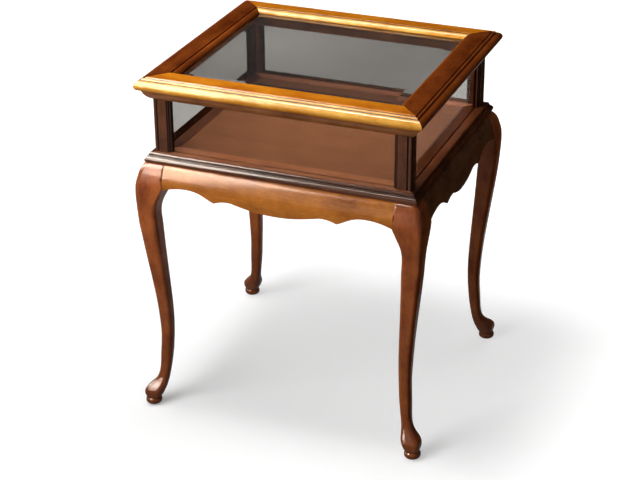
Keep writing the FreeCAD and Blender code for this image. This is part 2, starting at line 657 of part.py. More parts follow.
def post(corner):
    """Angle-shaped case post: a beaded outer corner, plain faces, and two steps beside the glass."""
    quirk = 2 * POST_BEAD_RADIUS + POST_QUIRK_WIDTH
    step_one = POST_SIZE - 2 * POST_STEP_WIDTH
    step_two = POST_SIZE - POST_STEP_WIDTH
    deep_one = POST_STEP_DEPTH
    deep_two = 2 * POST_STEP_DEPTH
    bead = POST_BEAD_RADIUS * (1 - math.sqrt(0.5))
    plan = [(0, POST_BEAD_RADIUS), ((bead, bead), (POST_BEAD_RADIUS, 0)),
            ((2 * POST_BEAD_RADIUS - bead, bead), (2 * POST_BEAD_RADIUS, POST_QUIRK_DEPTH)),
            (quirk, POST_QUIRK_DEPTH), (quirk, 0), (step_one, 0), (step_one, deep_one), (step_two, deep_one),
            (step_two, deep_two), (POST_SIZE, deep_two), (POST_SIZE, POST_THICKNESS),
            (POST_THICKNESS, POST_THICKNESS), (POST_THICKNESS, POST_SIZE), (deep_two, POST_SIZE),
            (deep_two, step_two), (deep_one, step_two), (deep_one, step_one), (0, step_one), (0, quirk),
            (POST_QUIRK_DEPTH, quirk), (POST_QUIRK_DEPTH, 2 * POST_BEAD_RADIUS),
            ((bead, 2 * POST_BEAD_RADIUS - bead), (0, POST_BEAD_RADIUS))]
    wire = path(plan, lambda x, y: at_corner(corner, POST_INSET + x, POST_INSET + y, BASE_TOP))
    solid = Part.Face(wire).extrude(Vector(0, 0, WINDOW_HEIGHT))
    for side in SIDES:
        if side in corner.split("_"):
            solid = solid.cut(pane_groove(side, BASE_TOP, WINDOW_TOP))
    for z in (BASE_TOP, WINDOW_TOP):
        solid = solid.cut(post_dowel(corner, z, DOWEL_RADIUS + GLUE_LINE))
    return solid


def pane(side):
    """Side glass: it stands on the bottom of its groove and slides up into the rail above."""
    reach = half_length(side) - PANE_END_INSET - PANEL_CLEARANCE
    return block(side, -reach, reach, PANE_INSET - PANE_THICKNESS / 2, PANE_INSET + PANE_THICKNESS / 2,
                 BASE_TOP - PANE_GROOVE_DEPTH, WINDOW_TOP + PANE_GROOVE_DEPTH - PANEL_CLEARANCE)


for corner_name in CORNERS:
    write("post_" + corner_name, post(corner_name))
for side_name in SIDES:
    write("side_glass_" + side_name, pane(side_name))
write("post_dowels", *[post_dowel(name, z, DOWEL_RADIUS) for name in CORNERS for z in (BASE_TOP, WINDOW_TOP)])


# ---------------------------------------------------------------- top rails of the case

TOP_FASCIA = 2.4                   # flat lip above the ovolo
OVOLO_STEP = 0.6
OVOLO_FOOT_INSET = 23.6
OVOLO_BULGE_INSET = 14.6           # a point on the round, and its drop
OVOLO_BULGE_DROP = 11.8
TOP_RAIL_LIP = 3.2                 # wood left behind the groove for the glass
TOP_KEY_INSET = 24.0
TOP_KEY_DROP = 5.0
TOP_RAIL_INNER = PANE_INSET + PANE_GROOVE_WIDTH / 2 + TOP_RAIL_LIP

HINGE_PLACE = 130.0                # middle of each hinge, from the middle of the back
HINGE_LENGTH = 50.0
LEAF_WIDTH = 17.0
LEAF_THICKNESS = 1.4
KNUCKLE_RADIUS = 3.0
KNUCKLE_GAP = 0.3
PIN_RADIUS = 1.4
PIN_CLEARANCE = 0.05
KNUCKLE_SHARE = 0.32               # share of the hinge's length in each outer knuckle
HINGE_RUNNING_GAP = 0.2
PIN_HEAD_RADIUS = 2.3
PIN_HEAD_LENGTH = 1.6

HINGE_SCREW_RADIUS = 1.2
HINGE_SCREW_HEAD = 2.4
HINGE_SCREW_HEAD_HEIGHT = 1.1
HINGE_SCREW_LENGTH = 11.0
HINGE_SCREW_SPACING = 17.0
HINGE_SCREW_FROM_EDGE = 8.0        # from the free edge of the leaf

HINGE_AXIS_INSET = TOP_RAIL_INSET - KNUCKLE_RADIUS - KNUCKLE_GAP
HINGE_AXIS_Z = CASE_TOP + LID_GAP / 2
LEAF_EDGE_INSET = TOP_RAIL_INSET + LEAF_WIDTH
HINGES = (-HINGE_PLACE, HINGE_PLACE)


def leaf_bed(middle, lid_side, clearance):
    """The flat of one leaf, or the mortise that it is let into."""
    half = HINGE_LENGTH / 2 + clearance
    if lid_side:
        z_low, z_high = LID_BOTTOM, LID_BOTTOM + LEAF_THICKNESS
    else:
        z_low, z_high = CASE_TOP - LEAF_THICKNESS, CASE_TOP
    return block("back", middle - half, middle + half, TOP_RAIL_INSET, LEAF_EDGE_INSET + clearance,
                 z_low, z_high)


def hinge_screw_heads(middle, lid_side):
    """Head and direction of the three screws in one leaf."""
    z = LID_BOTTOM if lid_side else CASE_TOP
    direction = Vector(0, 0, 1 if lid_side else -1)
    inset = LEAF_EDGE_INSET - HINGE_SCREW_FROM_EDGE
    return [(on_side("back", middle + step * HINGE_SCREW_SPACING, inset, z), direction)
            for step in (-1, 0, 1)]


def hinge_screw(start, direction, clearance):
    if clearance:
        head = Part.makeCone(HINGE_SCREW_HEAD + clearance, HINGE_SCREW_RADIUS + clearance,
                             HINGE_SCREW_HEAD_HEIGHT, start, direction)
        return head.fuse(rod(start, direction, HINGE_SCREW_LENGTH + clearance,
                             HINGE_SCREW_RADIUS + clearance))
    return screw(start, direction, HINGE_SCREW_LENGTH, HINGE_SCREW_RADIUS, HINGE_SCREW_HEAD,
                 HINGE_SCREW_HEAD_HEIGHT, True)


def top_rail(side):
    """Frame that caps the posts: a flat lip over an ovolo, grooved below for the glass."""
    low = WINDOW_TOP
    lip = CASE_TOP - TOP_FASCIA
    steps = [(TOP_RAIL_INNER, low), (TOP_RAIL_INNER, CASE_TOP),
             (TOP_RAIL_INSET, CASE_TOP), (TOP_RAIL_INSET, lip),
             (TOP_RAIL_INSET + OVOLO_STEP, lip),
             ((OVOLO_BULGE_INSET, CASE_TOP - OVOLO_BULGE_DROP), (OVOLO_FOOT_INSET, low))]
    rail = mitred(side, steps, low, CASE_TOP, TOP_RAIL_INNER)
    rail = rail.cut(pane_groove(side, low, low + PANE_GROOVE_DEPTH))
    for corner in corners_of(side):
        rail = rail.cut(mitre_key(corner, TOP_KEY_INSET, CASE_TOP - TOP_KEY_DROP, GLUE_LINE))
        rail = rail.cut(post_dowel(corner, WINDOW_TOP, DOWEL_RADIUS + GLUE_LINE))
    if side == "back":
        for middle in HINGES:
            rail = rail.cut(leaf_bed(middle, False, JOINT_CLEARANCE))
            for start, direction in hinge_screw_heads(middle, False):
                rail = rail.cut(rod(start, direction, HINGE_SCREW_LENGTH + GLUE_LINE,
                                    HINGE_SCREW_RADIUS + GLUE_LINE))
    return rail


for side_name in SIDES:
    write("case_top_rail_" + side_name, top_rail(side_name))
write("case_top_mitre_keys", *[mitre_key(name, TOP_KEY_INSET, CASE_TOP - TOP_KEY_DROP, 0)
                               for name in CORNERS])


# ---------------------------------------------------------------- lid frame, glass and stops

LID_RAIL_WIDTH = 46.2              # nose to the quirk before the inner ovolo
LID_QUIRK_DEPTH = 1.7
LID_QUIRK_WIDTH = 0.9
LID_LIP_INSET = 55.0               # inner edge of the lip over the glass
LID_SLOPE = 1.0                    # the top falls this much towards the nose
NOSE_FOOT_INSET = 3.6
NOSE_LOW = (0.9, 3.4)              # points of the nose: inset, height above the underside
NOSE_TIP_HEIGHT = 7.8
NOSE_HIGH = (3.1, 13.5)
NOSE_TOP = (9.6, 16.4)
LID_BEAD_START = (10.3, 16.9)
LID_BEAD_MIDDLE = (11.3, 18.9)
LID_BEAD_END = (13.3, 19.5)
LID_GROOVE = (15.3, 18.6)
LID_FLAT_INSET = 17.0
LIP_ROUND = (52.7, 18.5)
LIP_THICKNESS = 10.0               # from the top to the underside of the lip

LID_GLASS_THICKNESS = 5.0
LID_GLASS_EDGE = 3.3               # thickness left at the bevelled edge
LID_GLASS_BEVEL = 25.0             # width of the bevel, part of it under the lip
REBATE_INSET = 48.5
STOP_HEIGHT = 6.8

LID_KEY_INSET = 28.0
LID_KEY_HEIGHT = 11.0
BUMPER_INSET = 28.0
BUMPER_RADIUS = 5.0

LIP_UNDERSIDE = TABLE_HEIGHT - LIP_THICKNESS
GLASS_EDGE_INSET = REBATE_INSET + PANEL_CLEARANCE
BEVEL_UNDER_LIP = (LID_LIP_INSET - GLASS_EDGE_INSET) / LID_GLASS_BEVEL
GLASS_EDGE_TOP = LIP_UNDERSIDE - (LID_GLASS_THICKNESS - LID_GLASS_EDGE) * BEVEL_UNDER_LIP
GLASS_EDGE_BOTTOM = GLASS_EDGE_TOP - LID_GLASS_EDGE


def lid_rail(side):
    """Picture-frame moulding: round nose, small bead, groove, flat band, and an ovolo lip over the glass."""
    def up(row):
        return (row[0], LID_BOTTOM + row[1])
    flat = TABLE_HEIGHT - LID_SLOPE
    steps = [(REBATE_INSET, LID_BOTTOM), (NOSE_FOOT_INSET, LID_BOTTOM),
             (up(NOSE_LOW), (0, LID_BOTTOM + NOSE_TIP_HEIGHT)), (up(NOSE_HIGH), up(NOSE_TOP)),
             up(LID_BEAD_START), (up(LID_BEAD_MIDDLE), up(LID_BEAD_END)), up(LID_GROOVE),
             (LID_FLAT_INSET, flat), (LID_RAIL_WIDTH, TABLE_HEIGHT),
             (LID_RAIL_WIDTH, TABLE_HEIGHT - LID_QUIRK_DEPTH),
             (LID_RAIL_WIDTH + LID_QUIRK_WIDTH, TABLE_HEIGHT - LID_QUIRK_DEPTH),
             (up(LIP_ROUND), (LID_LIP_INSET, LIP_UNDERSIDE)), (REBATE_INSET, LIP_UNDERSIDE)]
    rail = mitred(side, steps, LID_BOTTOM, TABLE_HEIGHT, LID_LIP_INSET)
    for corner in corners_of(side):
        rail = rail.cut(mitre_key(corner, LID_KEY_INSET, LID_BOTTOM + LID_KEY_HEIGHT, GLUE_LINE))
    if side == "back":
        half = HINGE_LENGTH / 2 + PIN_HEAD_LENGTH + KNUCKLE_GAP
        for middle in HINGES:
            notch_top = HINGE_AXIS_Z + KNUCKLE_RADIUS + KNUCKLE_GAP
            rail = rail.cut(block("back", middle - half, middle + half, -1, TOP_RAIL_INSET,
                                  LID_BOTTOM, notch_top))
            rail = rail.cut(leaf_bed(middle, True, JOINT_CLEARANCE))
            for start, direction in hinge_screw_heads(middle, True):
                rail = rail.cut(rod(start, direction, HINGE_SCREW_LENGTH + GLUE_LINE,
                                    HINGE_SCREW_RADIUS + GLUE_LINE))
    return rail


def lid_glass():
    """Plate glass with a wide bevel ground on its upper face."""
    length = LID_LENGTH - 2 * GLASS_EDGE_INSET
    depth = LID_DEPTH - 2 * GLASS_EDGE_INSET
    flat_length = length - 2 * LID_GLASS_BEVEL
    flat_depth = depth - 2 * LID_GLASS_BEVEL
    plate = Part.makeBox(length, depth, LID_GLASS_EDGE, Vector(-length / 2, -depth / 2, GLASS_EDGE_BOTTOM))
    low = Part.makePlane(length, depth, Vector(-length / 2, -depth / 2, GLASS_EDGE_TOP)).OuterWire
    high = Part.makePlane(flat_length, flat_depth, Vector(-flat_length / 2, -flat_depth / 2,
                          GLASS_EDGE_BOTTOM + LID_GLASS_THICKNESS)).OuterWire
    return plate.fuse(Part.makeLoft([low, high], True, True)).removeSplitter()


def glass_stop(side):
    """Mitred strip pinned under the glass, rounded on its inner edge."""
    top = GLASS_EDGE_BOTTOM
    low = top - STOP_HEIGHT
    round_over = (LID_LIP_INSET - REBATE_INSET) / 2
    steps = [(REBATE_INSET + GLUE_LINE, low), (REBATE_INSET + GLUE_LINE, top), (LID_LIP_INSET, top),
             (LID_LIP_INSET, low + round_over),
             ((LID_LIP_INSET - round_over * 0.3, low + round_over * 0.3), (LID_LIP_INSET - round_over, low))]
    return mitred(side, steps, low, top, LID_LIP_INSET)


def bumper(corner):
    return rod(at_corner(corner, BUMPER_INSET, BUMPER_INSET, CASE_TOP), Vector(0, 0, 1), LID_GAP,
               BUMPER_RADIUS)


for side_name in SIDES:
    write("lid_rail_" + side_name, lid_rail(side_name))
write("lid_mitre_keys", *[mitre_key(name, LID_KEY_INSET, LID_BOTTOM + LID_KEY_HEIGHT, 0) for name in CORNERS])
write("lid_glass", lid_glass())
write("lid_glass_stops", *[glass_stop(name) for name in SIDES])
write("lid_felt_dots", *[bumper(name) for name in CORNERS])


# ---------------------------------------------------------------- butt hinges

def knuckle_spans(middle, lid_side):
    """Stretches of the pin held by one leaf: two outer knuckles on the case, one between them on the lid."""
    half = HINGE_LENGTH / 2
    outer = HINGE_LENGTH * KNUCKLE_SHARE
    if lid_side:
        return [(middle - half + outer + HINGE_RUNNING_GAP, middle + half - outer - HINGE_RUNNING_GAP)]
    return [(middle - half, middle - half + outer), (middle + half - outer, middle + half)]


def hinge_leaf(middle, lid_side):
    """Brass leaf with its knuckles rolled round the pin and countersunk holes for the screws."""
    leaf = leaf_bed(middle, lid_side, 0)
    low_z = LID_BOTTOM if lid_side else CASE_TOP - LEAF_THICKNESS
    high_z = low_z + LEAF_THICKNESS
    for start, end in knuckle_spans(middle, lid_side):
        axis_start = on_side("back", start, HINGE_AXIS_INSET, HINGE_AXIS_Z)
        tongue = block("back", start, end, HINGE_AXIS_INSET + PIN_RADIUS + PIN_CLEARANCE + KNUCKLE_GAP,
                       TOP_RAIL_INSET + LEAF_THICKNESS, low_z, high_z)
        leaf = leaf.fuse(tongue).fuse(rod(axis_start, Vector(1, 0, 0), end - start, KNUCKLE_RADIUS))
        leaf = leaf.cut(rod(axis_start, Vector(1, 0, 0), end - start, PIN_RADIUS + PIN_CLEARANCE))
    for start, direction in hinge_screw_heads(middle, lid_side):
        leaf = leaf.cut(hinge_screw(start, direction, GLUE_LINE))
    return leaf.removeSplitter()


def hinge_pin(middle):
    """Pin with a button head at each end."""
    half = HINGE_LENGTH / 2
    start = on_side("back", middle - half, HINGE_AXIS_INSET, HINGE_AXIS_Z)
    pin = rod(start, Vector(1, 0, 0), HINGE_LENGTH, PIN_RADIUS)
    left = rod(start, Vector(-1, 0, 0), PIN_HEAD_LENGTH, PIN_HEAD_RADIUS)
    right = rod(start + Vector(HINGE_LENGTH, 0, 0), Vector(1, 0, 0), PIN_HEAD_LENGTH, PIN_HEAD_RADIUS)
    return pin.fuse(left).fuse(right)


for hinge_name, hinge_middle in zip(("left", "right"), HINGES):
    write("hinge_case_leaf_" + hinge_name, hinge_leaf(hinge_middle, False))
    write("hinge_lid_leaf_" + hinge_name, hinge_leaf(hinge_middle, True))
write("hinge_pins", *[hinge_pin(middle) for middle in HINGES])
for screw_name, in_lid in (("hinge_case_screws", False), ("hinge_lid_screws", True)):
    heads = [head for middle in HINGES for head in hinge_screw_heads(middle, in_lid)]
    write(screw_name, *[hinge_screw(start, direction, 0) for start, direction in heads])


# ---------------------------------------------------------------- one STEP file for each node

os.makedirs("parts", exist_ok=True)
for node_name, shape in nodes.items():
    shape.exportStep("parts/" + node_name + ".step")
    print(node_name, len(shape.Solids), "solid(s)", round(shape.Volume / 1000, 2), "cm3", shape.isValid())
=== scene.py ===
import math

import bmesh
import bpy
from mathutils import Matrix, Vector


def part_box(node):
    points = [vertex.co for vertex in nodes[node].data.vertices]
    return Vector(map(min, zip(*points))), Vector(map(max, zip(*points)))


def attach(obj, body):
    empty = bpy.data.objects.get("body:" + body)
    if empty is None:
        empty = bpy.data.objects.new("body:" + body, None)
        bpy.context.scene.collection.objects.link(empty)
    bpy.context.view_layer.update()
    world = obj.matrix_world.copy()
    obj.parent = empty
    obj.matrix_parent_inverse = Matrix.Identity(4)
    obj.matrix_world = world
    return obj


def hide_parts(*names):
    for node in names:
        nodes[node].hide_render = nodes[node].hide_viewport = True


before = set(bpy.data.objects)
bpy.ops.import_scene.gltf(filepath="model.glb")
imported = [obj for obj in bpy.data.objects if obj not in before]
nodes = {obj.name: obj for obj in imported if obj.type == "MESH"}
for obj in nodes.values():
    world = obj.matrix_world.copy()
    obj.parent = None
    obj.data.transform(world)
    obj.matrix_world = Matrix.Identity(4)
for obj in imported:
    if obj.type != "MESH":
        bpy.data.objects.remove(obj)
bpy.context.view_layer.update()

scene = bpy.context.scene


# ---------------------------------------------------------------- cabriole legs
# Four solid cherry legs, sawn to the S curve and shaped by hand down to a pad foot on a turned disc.
# The grain runs up the leg. All the wood of the table that shows is stained red-brown and lacquered.

CORNERS = {"front_left": (-1, -1), "front_right": (1, -1), "back_left": (-1, 1), "back_right": (1, 1)}
NEXT_BOARD = (613.0, 37.0)         # mm, along and across: where the figure of the next board is taken from
HEART = (90.0, 140.0)              # mm, across and through: from a board to the middle of its tree
RING = 5.2                         # mm, between growth rings
SHADE_BELOW_TOP = 0.30                   # m: the painted shade on the legs starts here and darkens them downwards


class Value:
    """One output in the nodes of a finish. Sums, products and powers of values add their Math nodes."""

    def __init__(self, tree, socket=None):
        self.tree = tree
        self.socket = socket

    def node(self, kind, sockets, settings=(), out=0):
        """Adds a node, its settings first, then the value or link of each socket, and gives an output."""
        made = self.tree.nodes.new("ShaderNode" + kind)
        for name, setting in dict(settings).items():
            if name == "stops":
                for place, _ in setting[2:]:
                    made.color_ramp.elements.new(place)
                for stop, (place, shade) in zip(made.color_ramp.elements, setting):
                    stop.position = place
                    stop.color = shade
            else:
                setattr(made, name, setting)
        for name, value in sockets.items():
            if isinstance(value, Value):
                self.tree.links.new(value.socket, made.inputs[name])
            else:
                made.inputs[name].default_value = value
        return Value(self.tree, made.outputs[out] if len(made.outputs) else None)

    def math(self, operation, *numbers):
        return self.node("Math", dict(enumerate(numbers)), {"operation": operation})

    def __add__(self, other):
        return self.math("ADD", self, other)

    def __sub__(self, other):
        return self.math("SUBTRACT", self, other)

    def __rsub__(self, other):
        return self.math("SUBTRACT", other, self)

    def __mul__(self, other):
        return self.math("MULTIPLY", self, other)

    def __pow__(self, power):
        return self.math("POWER", self, power)

    __radd__ = __add__
    __rmul__ = __mul__

    def clamped(self):
        return self.node("Clamp", {"Value": self})

    def noise(self, scale, detail=2.0):
        """Smooth noise over this place, most of it between 0.3 and 0.7."""
        return self.node("TexNoise", {"Vector": self, "Scale": scale, "Detail": detail})

    def mixed(self, low, high):
        """A colour that goes from low to high as this value goes from 0 to 1."""
        return self.node("Mix", {0: self, 6: low, 7: high}, {"data_type": "RGBA"}, out=2)


def colour(code):
    """A colour as a shader takes it, from its usual hex code."""
    parts = [int(code[k:k + 2], 16) / 255 for k in (0, 2, 4)]
    return tuple(p / 12.92 if p <= 0.04045 else ((p + 0.055) / 1.055) ** 2.4 for p in parts) + (1.0,)


def new_finish(name):
    """An empty material and the start of its nodes."""
    material = bpy.data.materials.new(name)
    material.use_nodes = True
    material.node_tree.nodes.clear()
    return material, Value(material.node_tree)


def in_board(start, grain, board):
    """Where a point is in its board, in mm: along the grain, across it and through it."""
    place = start.node("TexCoord", {}, out="Object")
    order = {"x": (0, 1, 2), "y": (1, 2, 0), "z": (2, 0, 1)}[grain]
    along, across, through = (place.node("SeparateXYZ", {0: place}, out=axis) * 1000.0 for axis in order)
    return along + board * NEXT_BOARD[0], across + board * NEXT_BOARD[1], through


def streaks(board_place, run, scale, detail=2.0):
    """Noise drawn out along the grain, run times as long as it is wide."""
    along, across, through = board_place
    drawn = along.node("CombineXYZ", {0: along * (1.0 / run), 1: across, 2: through})
    return drawn.noise(scale, detail)


def polished_wood(name, grain, deep, middle, pale, board=0, coat=0.3, figure=1.0, other=None, rubbed=0.35,
                  shade_below=False, haze=0.17):
    """Stained and lacquered hardwood with painted shade that darkens the quirks, paler along rubbed edges.

    coat is the share of the lacquer and haze how dull it is, figure how lively the wood is, and rubbed how
    far the pale colour comes out along the edges. other is a second pair of colours, for the part of a
    moulding that the mark "other" gives, and the last switch paints shade on a leg, darker down towards its
    foot."""
    material, start = new_finish(name)
    place = in_board(start, grain, board)
    along, across, through = place
    drift = streaks(place, 12.0, 0.018) * 70.0
    radius = ((across + drift + HEART[0]) ** 2.0 + (through + HEART[1]) ** 2.0) ** 0.5
    rings = radius.math("SINE", radius * (2 * math.pi / RING)) * 0.5
    flame = streaks(place, 5.0, 0.03, 3.0) - 0.5
    cloud = streaks(place, 1.5, 0.028, 2.0) - 0.5
    mottle = streaks(place, 2.2, 0.22, 3.0) - 0.5
    fibres = streaks(place, 26.0, 1.3) - 0.5
    pores = streaks(place, 30.0, 2.6, 1.0)
    tone = 0.5 + figure * (flame * 0.8 + cloud * 1.2 + mottle * 0.5 + rings * 0.05) + fibres * 0.25
    shade = tone.node("ValToRGB", {0: tone}, {"stops": [(0.05, deep), (0.95, pale), (0.5, middle)]})
    if other:
        band = start.node("Attribute", {}, {"attribute_name": "other"}, out="Fac")
        shade = band.mixed(shade, (tone * 1.4 - 0.2).clamped().mixed(*other))
    rub = start.node("Attribute", {}, {"attribute_name": "rub"}, out="Fac")
    shade = (rub * rubbed).clamped().mixed(shade, pale)
    # Painted shade: the quirks darken towards near black.
    shade = (rub * -1.0).clamped().mixed(shade, colour("160b06"))
    if shade_below:
        # Painted shade down the leg, darker towards the foot.
        height = start.node("SeparateXYZ", {0: start.node("TexCoord", {}, out="Object")}, out="Z")
        shade = ((SHADE_BELOW_TOP - height) * 1.5).clamped().mixed(shade, colour("2a140a"))
    surface = {
        "Base Color": shade,
        "Roughness": 0.45 + fibres * 0.2,
        "Specular IOR Level": 0.0,
        "Coat Weight": coat,
        "Coat IOR": 1.35,
        "Coat Roughness": haze,
        "Normal": pores.node("Bump", {"Height": pores, "Strength": 0.1, "Distance": 0.0003}),
    }
    start.node("OutputMaterial", {0: start.node("BsdfPrincipled", surface)})
    return material


def dress(piece, material, body="table"):
    """Gives a piece its finish. A piece that isn't a node of the frame also rides on its body."""
    piece.data.materials.clear()
    piece.data.materials.append(material)
    if piece.name not in nodes:
        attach(piece, body)


for number, corner in enumerate(CORNERS):
    dress(nodes["leg_" + corner], polished_wood("leg " + corner, "z", colour("6e3216"), colour("8e4520"),
                                                colour("a85b2a"), board=number, shade_below=True))


# ---------------------------------------------------------------- foot glides
# A brown nylon glide nailed under each foot, its nail driven up into the end grain of the disc.


def plain_finish(name, dark, light, grain_size, roughness, metal=0.0, bump=0.1):
    """A finish with one speckle: plastic, metal, felt or bare wood."""
    material, start = new_finish(name)
    place = start.node("TexCoord", {}, out="Object")
    speckle = place.noise(1.0 / grain_size, 3.0)
    wear = place.noise(30.0)
    surface = {
        "Base Color": ((speckle - 0.5) * 1.4 + wear).clamped().mixed(dark, light),
        "Roughness": roughness + (wear - 0.5) * 0.25,
        "Metallic": metal,
        "Normal": speckle.node("Bump", {"Height": speckle, "Strength": bump, "Distance": 0.0003}),
    }
    start.node("OutputMaterial", {0: start.node("BsdfPrincipled", surface)})
    return material


dress(nodes["foot_glides"], plain_finish("nylon", colour("2a1c14"), colour("463022"), 0.0015, 0.5))


# ---------------------------------------------------------------- aprons
# Four bowed boards with a scalloped lower edge, tenoned into the legs. The grain runs along each board.

SIDES = ("front", "back", "left", "right")
GRAIN = {"front": "x", "back": "x", "left": "y", "right": "y"}

for number, side in enumerate(SIDES):
    if side in ("front", "back"):
        shades = (colour("763c10"), colour("984e1c"), colour("be742a"))
    # The side aprons take darker copies of the same wood: painted shade.
    else:
        shades = (colour("4c2c1a"), colour("683e24"), colour("805030"))
    dress(nodes["apron_" + side], polished_wood("apron " + side, GRAIN[side], *shades, board=number))


# ---------------------------------------------------------------- corner blocks and their fasteners
# Bare hardwood blocks behind the knees, drawn against the legs by zinc-plated hanger bolts, washers and
# nuts, and held by slotted screws. Other screws go up through them into the case.

block_wood = plain_finish("bare block wood", colour("a8814f"), colour("c9a472"), 0.004, 0.7)
dress(nodes["corner_blocks"], block_wood)
zinc = plain_finish("zinc-plated steel", colour("8d9092"), colour("b7babb"), 0.0012, 0.38, metal=1.0,
                    bump=0.05)
for name in ("leg_hanger_bolts", "leg_bolt_washers", "leg_bolt_nuts", "corner_block_screws",
             "stand_to_case_screws"):
    dress(nodes[name], zinc)


# ---------------------------------------------------------------- base rails
# The waist moulding: four mitred rails with a bead above a half round, a groove for the glass on top and
# a rebate for the floor inside. Loose keys are glued across the mitres. Stained darker than the stand.

EDGE_ROUND = 0.5                   # mm: how far every arris of the mouldings is eased
EASED_SHARE = 0.4                  # the most of a short side that one eased arris takes
ARRIS_TURN = math.radians(20)      # corners that turn less belong to a curve and aren't eased
ARC_STEP = math.radians(11)        # turn between two points of an arc
CREASE = math.radians(38)          # faces that meet at more than this are shaded with an edge
SPLIT = 2.2                        # mm: longest step along an outline
RUB_REACH = 1.0                    # mm: how far wear spreads from an edge
QUIRK_SHADE_REACH = 1.3                  # mm: how far the painted shade spreads from a quirk
lid_front = [corner * 1000.0 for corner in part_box("lid_rail_front")]
HALF_LENGTH = lid_front[1].x       # mm, of the lid, from which all insets are taken
HALF_DEPTH = -lid_front[0].y


def arc(start, middle, end):
    """Points after start on the arc through three points."""
    (ax, ay), (bx, by), (cx, cy) = start, middle, end
    scale = 2 * (ax * (by - cy) + bx * (cy - ay) + cx * (ay - by))
    squares = (ax * ax + ay * ay, bx * bx + by * by, cx * cx + cy * cy)
    ox = (squares[0] * (by - cy) + squares[1] * (cy - ay) + squares[2] * (ay - by)) / scale
    oy = (squares[0] * (cx - bx) + squares[1] * (ax - cx) + squares[2] * (bx - ax)) / scale
    radius = math.hypot(ax - ox, ay - oy)
    first, via, last = (math.atan2(y - oy, x - ox) for x, y in (start, middle, end))
    turn = (last - first) % (2 * math.pi)
    if (via - first) % (2 * math.pi) > turn:
        turn -= 2 * math.pi
    count = max(4, round(abs(turn) / ARC_STEP))
    angles = [first + turn * k / count for k in range(1, count + 1)]
    return [(ox + radius * math.cos(angle), oy + radius * math.sin(angle)) for angle in angles]


def turn_at(points, k):
    """How far a closed outline turns at its point k, in radians."""
    (ax, ay), (bx, by), (cx, cy) = points[k - 1], points[k], points[(k + 1) % len(points)]
    angle = math.atan2(cy - by, cx - bx) - math.atan2(by - ay, bx - ax)
    return (angle + math.pi) % (2 * math.pi) - math.pi


def outline(steps):
    """A closed outline in mm. A step is a corner, or a pair of points: the middle and end of an arc."""
    corners = [steps[0]]
    for step in steps[1:]:
        corners += arc(corners[-1], *step) if isinstance(step[0], tuple) else [step]
    if math.dist(corners[0], corners[-1]) < 0.001:
        corners.pop()
    eased = []
    for k, spot in enumerate(corners):
        before, after = corners[k - 1], corners[(k + 1) % len(corners)]
        if abs(turn_at(corners, k)) < ARRIS_TURN:
            eased.append(spot)
            continue
        before_by, after_by = (min(EDGE_ROUND, EASED_SHARE * math.dist(spot, end)) for end in (before, after))
        first = Vector(spot) + (Vector(before) - Vector(spot)).normalized() * before_by
        last = Vector(spot) + (Vector(after) - Vector(spot)).normalized() * after_by
        for t in (0.0, 0.25, 0.5, 0.75, 1.0):
            eased.append(tuple(first * (1 - t) ** 2 + Vector(spot) * 2 * t * (1 - t) + last * t * t))
    points = []
    for k, spot in enumerate(eased):
        after = eased[(k + 1) % len(eased)]
        pieces = max(1, math.ceil(math.dist(spot, after) / SPLIT))
        points += [tuple(Vector(spot).lerp(Vector(after), j / pieces)) for j in range(pieces)]
    return points


def wear_and_shade_of(points):
    """For each point of an outline, 1 where an edge stands proud nearby and -1 down in a quirk, where it
    paints shade.
    """
    area = sum(a[0] * b[1] - b[0] * a[1] for a, b in zip(points, points[1:] + points[:1]))
    outward = 1 if area > 0 else -1
    turns = [outward * turn_at(points, k) for k in range(len(points))]
    wear_and_shades = []
    for spot in points:
        near = sum(turn * math.exp(-(math.dist(spot, at) / (RUB_REACH if turn > 0 else QUIRK_SHADE_REACH)) ** 2)
                   for turn, at in zip(turns, points))
        wear_and_shades.append(max(-1.0, min(1.0, near)))
    return wear_and_shades


def bar(name, points, ends, marks):
    """A bar of one section between two places. ends give each point of the outline its two places."""
    mesh = bpy.data.meshes.new(name)
    rings = [[end(*spot) for spot in points] for end in ends]
    count = len(points)
    sides = [(k, (k + 1) % count, count + (k + 1) % count, count + k) for k in range(count)]
    caps = [tuple(range(count)), tuple(range(2 * count - 1, count - 1, -1))]
    mesh.from_pydata([Vector(spot) * 0.001 for ring in rings for spot in ring], [], sides + caps)
    faces = bmesh.new()
    faces.from_mesh(mesh)
    bmesh.ops.recalc_face_normals(faces, faces=faces.faces)
    faces.to_mesh(mesh)
    faces.free()
    for mark, values in marks.items():
        mesh.attributes.new(mark, "FLOAT", "POINT").data.foreach_set("value", list(values) * 2)
    mesh.shade_smooth()
    mesh.set_sharp_from_angle(angle=CREASE)
    piece = bpy.data.objects.new(name, mesh)
    scene.collection.objects.link(piece)
    return piece


def on_side(side, along, inset, height):
    """A place on one side of the table: along it, in from the edge of the lid, and up."""
    if side in ("front", "back"):
        return (along, (inset - HALF_DEPTH) * (1 if side == "front" else -1), height)
    return ((inset - HALF_LENGTH) * (1 if side == "left" else -1), along, height)


def fade(place, gone, full):
    """0 up to one inset or height, 1 from the other on, and even in between."""
    return max(0.0, min(1.0, (place - gone) / (full - gone)))


def mitred_rail(name, side, section, zero, other):
    """A rail of a mitred frame: each line of its section ends on the mitre at the line's own inset.

    other gives the share of the second colour at an inset and height."""
    half = HALF_LENGTH if side in ("front", "back") else HALF_DEPTH
    points = outline(section)
    ends = [lambda inset, height, end=end: on_side(side, end * (half - inset), inset, zero + height)
            for end in (-1, 1)]
    marks = {"rub": wear_and_shade_of(points), "other": [other(*spot) for spot in points]}
    return bar(name, points, ends, marks)


